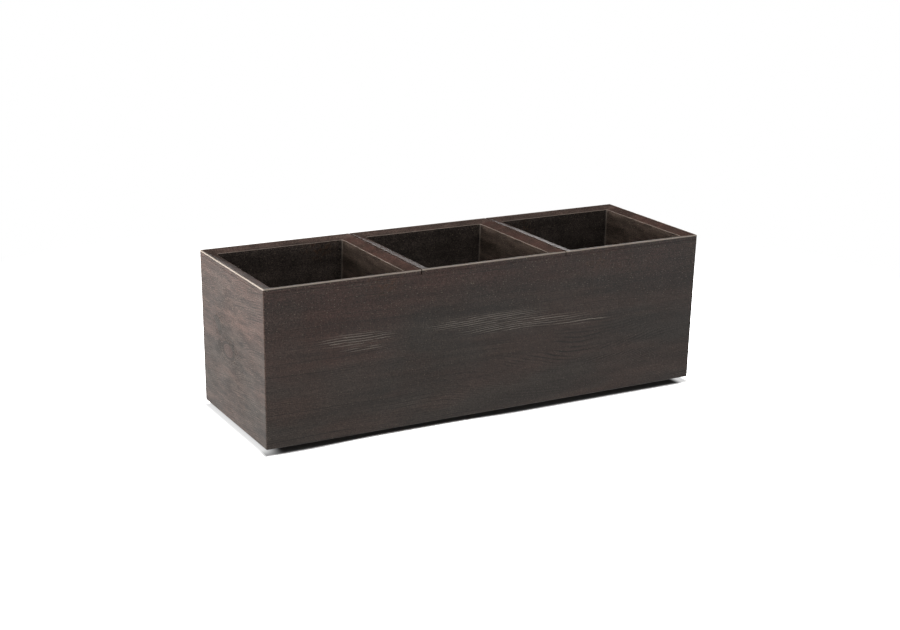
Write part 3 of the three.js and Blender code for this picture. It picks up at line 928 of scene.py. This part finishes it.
# The inserts' outer band gets painted shade through rim_face_shade.
insert_composite = composite(
    "Insert Composite",
    relief=0.3, roughness=0.33, gloss=0.3, inner_relief=0.12, rim_face_shade=0.96,
)
print("materials", case_composite.name, "and", insert_composite.name)

# %% [markdown]
# ## The feet
# The feet are pushed in from below and never seen in full. They are black, a little
# softer than the case and matt, with dust on whatever faces up.

# %% The feet
FOOT_BLACK = paint(20, 20, 20)
FOOT_GREY = paint(34, 33, 32)
FOOT_DUST = paint(92, 84, 76)
FOOT_PEBBLE_SIZE, FOOT_PEBBLE_HEIGHT = 0.8, 0.00008
DUST_SPAN, FOOT_DUST_SHARE, FOOT_ROUGHNESS = (0.45, 0.7), 0.35, (0.55, 0.72)

foot_plastic, tree, shader, here = new_material("Foot Plastic")
skin = place_group(tree, mould_skin, Position=here["Position"], Pebble_Size=FOOT_PEBBLE_SIZE)
face = place_group(tree, face_plane, **here)
dust = times(tree, face["Level"], step(tree, skin["Shine"], *DUST_SPAN), FOOT_DUST_SHARE)
black = blend_colours(tree, skin["Height"], FOOT_BLACK, FOOT_GREY)
put(tree, shader.inputs["Base Color"], blend_colours(tree, dust, black, FOOT_DUST))
put(tree, shader.inputs["Roughness"], spread_out(tree, skin["Shine"], *FOOT_ROUGHNESS))
emboss(tree, shader, skin["Height"], FOOT_PEBBLE_HEIGHT)
print("material", foot_plastic.name)

# %% [markdown]
# ## Round the model's facets
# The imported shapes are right, so they stay, but their small roundings are made of a few
# flat strips in loose triangles. One group of geometry nodes joins the triangles, and
# keeps only the truly sharp edges sharp. A Weighted Normal modifier then lets the big
# flat walls decide the shading, so that the roundings flow into them.

# %% Round the model's facets
JOIN_WITHIN = 0.00002
SHARP_ANGLE = math.radians(35)

softener = bpy.data.node_groups.new("Join and Smooth", "GeometryNodeTree")
for way in ("INPUT", "OUTPUT"):
    softener.interface.new_socket(
        name="Geometry", in_out=way, socket_type="NodeSocketGeometry"
    )
start = softener.nodes.new("NodeGroupInput")
end = softener.nodes.new("NodeGroupOutput")
join = softener.nodes.new("GeometryNodeMergeByDistance")
join.inputs["Distance"].default_value = JOIN_WITHIN
smooth_faces = softener.nodes.new("GeometryNodeSetShadeSmooth")
smooth_faces.domain = "FACE"
smooth_edges = softener.nodes.new("GeometryNodeSetShadeSmooth")
smooth_edges.domain = "EDGE"
angle = softener.nodes.new("GeometryNodeInputMeshEdgeAngle")
shallow = softener.nodes.new("FunctionNodeCompare")
shallow.data_type = "FLOAT"
shallow.operation = "LESS_THAN"
shallow.inputs[1].default_value = SHARP_ANGLE
softener.links.new(start.outputs[0], join.inputs["Geometry"])
softener.links.new(join.outputs[0], smooth_faces.inputs["Geometry"])
softener.links.new(smooth_faces.outputs[0], smooth_edges.inputs["Geometry"])
softener.links.new(angle.outputs["Unsigned Angle"], shallow.inputs[0])
softener.links.new(shallow.outputs["Result"], smooth_edges.inputs["Shade Smooth"])
softener.links.new(smooth_edges.outputs[0], end.inputs[0])
print("geometry group", softener.name)

# %% [markdown]
# ## Dress the pieces
# Each piece of the model keeps its mesh and its place. It only gets the two modifiers
# and the finish that belongs to the start of its name.

# %% Dress the pieces
FINISHES = {"outer_case": case_composite, "insert_": insert_composite, "foot_": foot_plastic}

for name, piece in nodes.items():
    rounding = piece.modifiers.new("Join and Smooth", "NODES")
    rounding.node_group = softener
    weighting = piece.modifiers.new("Weighted Normal", "WEIGHTED_NORMAL")
    weighting.mode = "FACE_AREA"
    weighting.keep_sharp = True
    finish = next(FINISHES[opening] for opening in FINISHES if name.startswith(opening))
    for slot in piece.material_slots:
        slot.material = finish
    print(name, "gets", finish.name)

# %% [markdown]
# ## The floor as each ray sees it
# The planter stands on a plain pale floor with nothing behind it. The floor lights the
# object as pale paper does. To the camera it is bright enough to be white wherever light
# reaches it, and under the case it is painted dark, a painted shadow over the real one,
# apart from a stretch at the front where its edge lies further under. A painted glow at
# each end stands for light that gets under. To a glossy surface it is even, and brighter
# far off, so that the rims have a pale sheen.

# %% The floor as each ray sees it
PAPER, PAPER_SEEN, PAINTED_SHADOW_UNDER = 0.8, 4.5, 0.16
SHADOW_EDGE, FAR_OFF = (-0.004, 0.008), (0.7, 1.3)
LIT_STRETCH, LIT_STRETCH_REACH, LIT_STRETCH_DEPTH = -0.14, (0.05, 0.2), 0.008
FLOOR_MIRRORED, BAND_MIRRORED, MIRRORED_SPAN = 1.0, 3.2, (1.6, 4.0)
# Painted glows at the ends: from where, to where, the light there and the light beyond.
PAINTED_LEFT_GLEAM, PAINTED_RIGHT_GLEAM = (0.366, 0.396, 0.0, 0.76), (0.374, 0.39, 0.0, 0.65)
PAINTED_LEFT_GLEAM_FRONT = (-0.135, -0.1, 0.25, 1.0)


def emission(tree, strength):
    """Plain white light of a given strength."""
    node = tree.nodes.new("ShaderNodeEmission")
    put(tree, node.inputs["Strength"], strength)
    return node.outputs[0]


def mix_shaders(tree, factor, first, second):
    """The first shader at factor 0, the second at 1."""
    node = tree.nodes.new("ShaderNodeMixShader")
    for socket, value in zip(node.inputs, (factor, first, second)):
        put(tree, socket, value)
    return node.outputs[0]


paper, tree, shader, here = new_material("Floor Paper")
shader.inputs["Roughness"].default_value = 1.0
shader.inputs["Specular IOR Level"].default_value = 0.0
shader.inputs["Base Color"].default_value = (PAPER, PAPER, PAPER, 1)
x, y = split(tree, here["Position"])[:2]
past_end = calc(tree, "SUBTRACT", calc(tree, "ABSOLUTE", x), HALF_LENGTH)
past_side = calc(tree, "SUBTRACT", calc(tree, "ABSOLUTE", y), HALF_DEPTH)
painted_lit_stretch = fall(tree, apart(tree, x, LIT_STRETCH), *LIT_STRETCH_REACH, LIT_STRETCH_DEPTH)
in_front = calc(tree, "LESS_THAN", y, 0.0)
past_side = calc(tree, "MULTIPLY_ADD", in_front, painted_lit_stretch, past_side)
past_case = calc(tree, "MAXIMUM", past_end, past_side)
# Painted shadow: the paper is seen far darker under the case than around it.
seen_paper_with_painted_shadow = step(tree, past_case, *SHADOW_EDGE, PAINTED_SHADOW_UNDER, PAPER_SEEN)
near = tree.nodes.new("ShaderNodeBsdfDiffuse")
put(tree, near.inputs["Color"], combine(tree, seen_paper_with_painted_shadow, seen_paper_with_painted_shadow, seen_paper_with_painted_shadow))

# Painted light: a glow at each end, for the light that gets under the case.
painted_left_gleam = step(tree, times(tree, x, -1.0), *PAINTED_LEFT_GLEAM)
painted_left_gleam = times(tree, painted_left_gleam, step(tree, y, *PAINTED_LEFT_GLEAM_FRONT))
painted_right_gleam = step(tree, x, *PAINTED_RIGHT_GLEAM)
near_and_ends = tree.nodes.new("ShaderNodeAddShader")
put(tree, near_and_ends.inputs[0], near.outputs[0])
painted_gleams = emission(tree, calc(tree, "ADD", painted_left_gleam, painted_right_gleam))
put(tree, near_and_ends.inputs[1], painted_gleams)

distance = vector_calc(tree, "LENGTH", here["Position"])
far_off = step(tree, distance, *FAR_OFF)
seen = mix_shaders(tree, far_off, near_and_ends.outputs[0], emission(tree, 1.0))
mirrored = step(tree, distance, *MIRRORED_SPAN, FLOOR_MIRRORED, BAND_MIRRORED)
mirrored = emission(tree, mirrored)
ray = tree.nodes.new("ShaderNodeLightPath").outputs
unseen = mix_shaders(tree, ray["Is Glossy Ray"], shader.outputs[0], mirrored)
choice = mix_shaders(tree, ray["Is Camera Ray"], unseen, seen)
put(tree, tree.nodes["Material Output"].inputs["Surface"], choice)
print("material", paper.name)

# %% [markdown]
# ## The floor and the sky
# The floor is one flat square, so large that its edge never shows. The sky is white to
# the camera and gives a weak even light. In a reflection it is dark, apart from a bright
# band along the horizon, which is brightest to the right.

# %% The floor and the sky
FLOOR_SIZE = 40
SKY_LIGHT, SKY_MIRRORED = 0.2, 0.04
BAND_LEFT, BAND_RIGHT = BAND_MIRRORED * 0.9, BAND_MIRRORED * 2.2
BAND_TURNS, BAND_TOP = (0.4, 0.62), (-0.01, 0.1)

mesh = bmesh.new()
bmesh.ops.create_grid(mesh, x_segments=1, y_segments=1, size=FLOOR_SIZE / 2)
sheet = bpy.data.meshes.new("Floor")
mesh.to_mesh(sheet)
mesh.free()
floor = bpy.data.objects.new("Floor", sheet)
bpy.context.collection.objects.link(floor)
floor.data.materials.append(paper)

world = bpy.data.worlds.new("Studio")
bpy.context.scene.world = world
world.use_nodes = True
tree = world.node_tree
background = tree.nodes["Background"]
background.inputs["Color"].default_value = WHITE
ray = tree.nodes.new("ShaderNodeLightPath").outputs
toward = split(tree, tree.nodes.new("ShaderNodeTexCoord").outputs["Generated"])
band = step(tree, toward["X"], *BAND_TURNS, BAND_LEFT, BAND_RIGHT)
mirrored = step(tree, toward["Z"], *BAND_TOP, band, SKY_MIRRORED)
strength = blend_numbers(tree, ray["Is Glossy Ray"], SKY_LIGHT, mirrored)
strength = blend_numbers(tree, ray["Is Camera Ray"], strength, 1.0)
put(tree, background.inputs["Strength"], strength)
print("floor and sky ready")

# %% [markdown]
# ## The lamps
# The left end is four times as bright as the front, so the main lamp is a long low
# rectangle off to the left, no higher than needed to send a slanting light into the
# wells. It lights the object alone, or the floor would be too bright there. A small lamp
# at the back left and a wide one overhead fill in. The first two are hidden from
# reflections, where they would leave glaring patches on the rims.

# %% The lamps
def soft_lamp(name, place, aim, width, height, power):
    """A white rectangle of light at place, turned to aim."""
    light = bpy.data.lights.new(name, "AREA")
    light.shape = "RECTANGLE"
    light.size = width
    light.size_y = height
    light.energy = power
    lamp = bpy.data.objects.new(name, light)
    lamp.location = place
    lamp.rotation_euler = (Vector(aim) - Vector(place)).to_track_quat("-Z", "Y").to_euler()
    bpy.context.collection.objects.link(lamp)
    return lamp


OBJECT_MIDDLE = (0, 0, 0.13)
key_lamp = soft_lamp(
    "Key Lamp", place=(-3.6, 0.3, 0.405), aim=(0, 0, 0.2), width=3.0, height=0.65, power=172
)
back_lamp = soft_lamp(
    "Back Lamp", place=(-1.75, 2.55, 1.45), aim=OBJECT_MIDDLE, width=0.35, height=0.35, power=22
)
top_lamp = soft_lamp(
    "Top Lamp", place=(0.2, -0.4, 2.6), aim=OBJECT_MIDDLE, width=2.2, height=2.2, power=29
)
for lamp in (key_lamp, back_lamp):
    lamp.visible_glossy = False
lit = bpy.data.collections.new("Lit By The Key")
for piece in nodes.values():
    lit.objects.link(piece)
key_lamp.light_linking.receiver_collection = lit
print("lamps", key_lamp.name, back_lamp.name, top_lamp.name)

# %% [markdown]
# The last line says that the script has run to its end.

print("script done")
